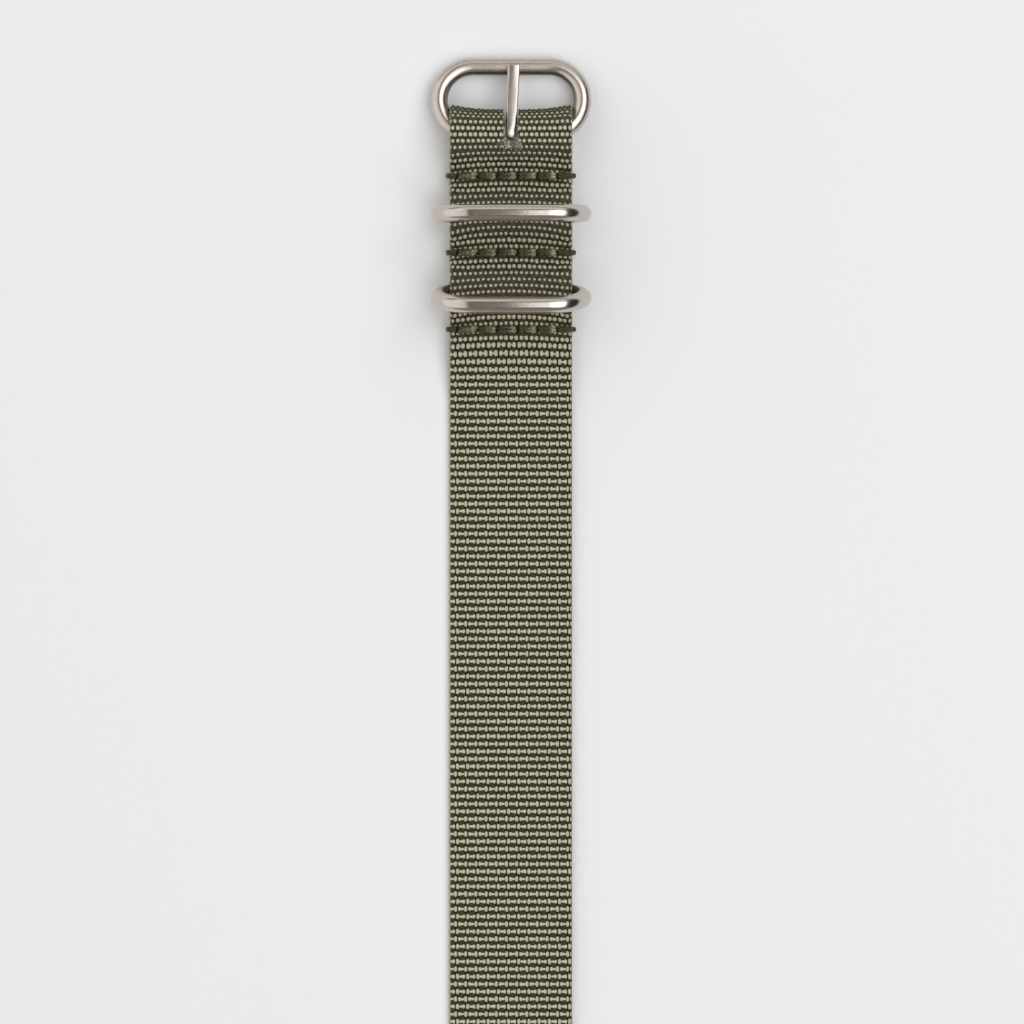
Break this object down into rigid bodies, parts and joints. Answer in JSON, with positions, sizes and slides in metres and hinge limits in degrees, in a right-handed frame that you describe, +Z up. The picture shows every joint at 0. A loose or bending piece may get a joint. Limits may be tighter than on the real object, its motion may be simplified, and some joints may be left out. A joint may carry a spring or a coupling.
{
  "type": "zulu watch strap",
  "caption": "Slip-through watch strap of ribbed webbing, folded and sewn round a wire buckle, with wire keeper rings that tilt in sewn tunnels.",
  "frame": {"origin": "on the surface the strap lies on, at the middle of its whole length and width", "axes": "+X across the strap, +Y along it towards the buckle, +Z up from the surface it lies on"},
  "size_m": [0.029, 0.2796, 0.0171],
  "materials": {
    "webbing": "ribbed woven nylon, khaki over dark olive",
    "thread": "dark green bonded sewing thread",
    "steel": "satin stainless steel wire"
  },
  "bodies": {
    "strap": {"webbing": "webbing", "needle_thread_1": "thread", "needle_thread_2": "thread", "needle_thread_3": "thread", "bobbin_thread_1": "thread", "bobbin_thread_2": "thread", "bobbin_thread_3": "thread"},
    "buckle": {"buckle_ring": "steel"},
    "tongue": {"buckle_tongue": "steel"},
    "keeper_1": {"keeper_ring_1": "steel"},
    "keeper_2": {"keeper_ring_2": "steel"}
  },
  "joints": [
    {"name": "buckle_hinge", "type": "hinge", "parent": "strap", "child": "buckle", "pos_m": [0, 0.12619, 0.00335], "axis": [1, 0, 0], "range_deg": [0, 50]},
    {"name": "tongue_hinge", "type": "hinge", "parent": "buckle", "child": "tongue", "pos_m": [0, 0.12619, 0.00335], "axis": [1, 0, 0], "range_deg": [0, 45]},
    {"name": "keeper_hinge_1", "type": "hinge", "parent": "strap", "child": "keeper_1", "pos_m": [0, 0.11169, 0.00335], "axis": [1, 0, 0], "range_deg": [-20, 25]},
    {"name": "keeper_hinge_2", "type": "hinge", "parent": "strap", "child": "keeper_2", "pos_m": [0, 0.09789, 0.00335], "axis": [1, 0, 0], "range_deg": [-37.5, 57.5]}
  ]
}
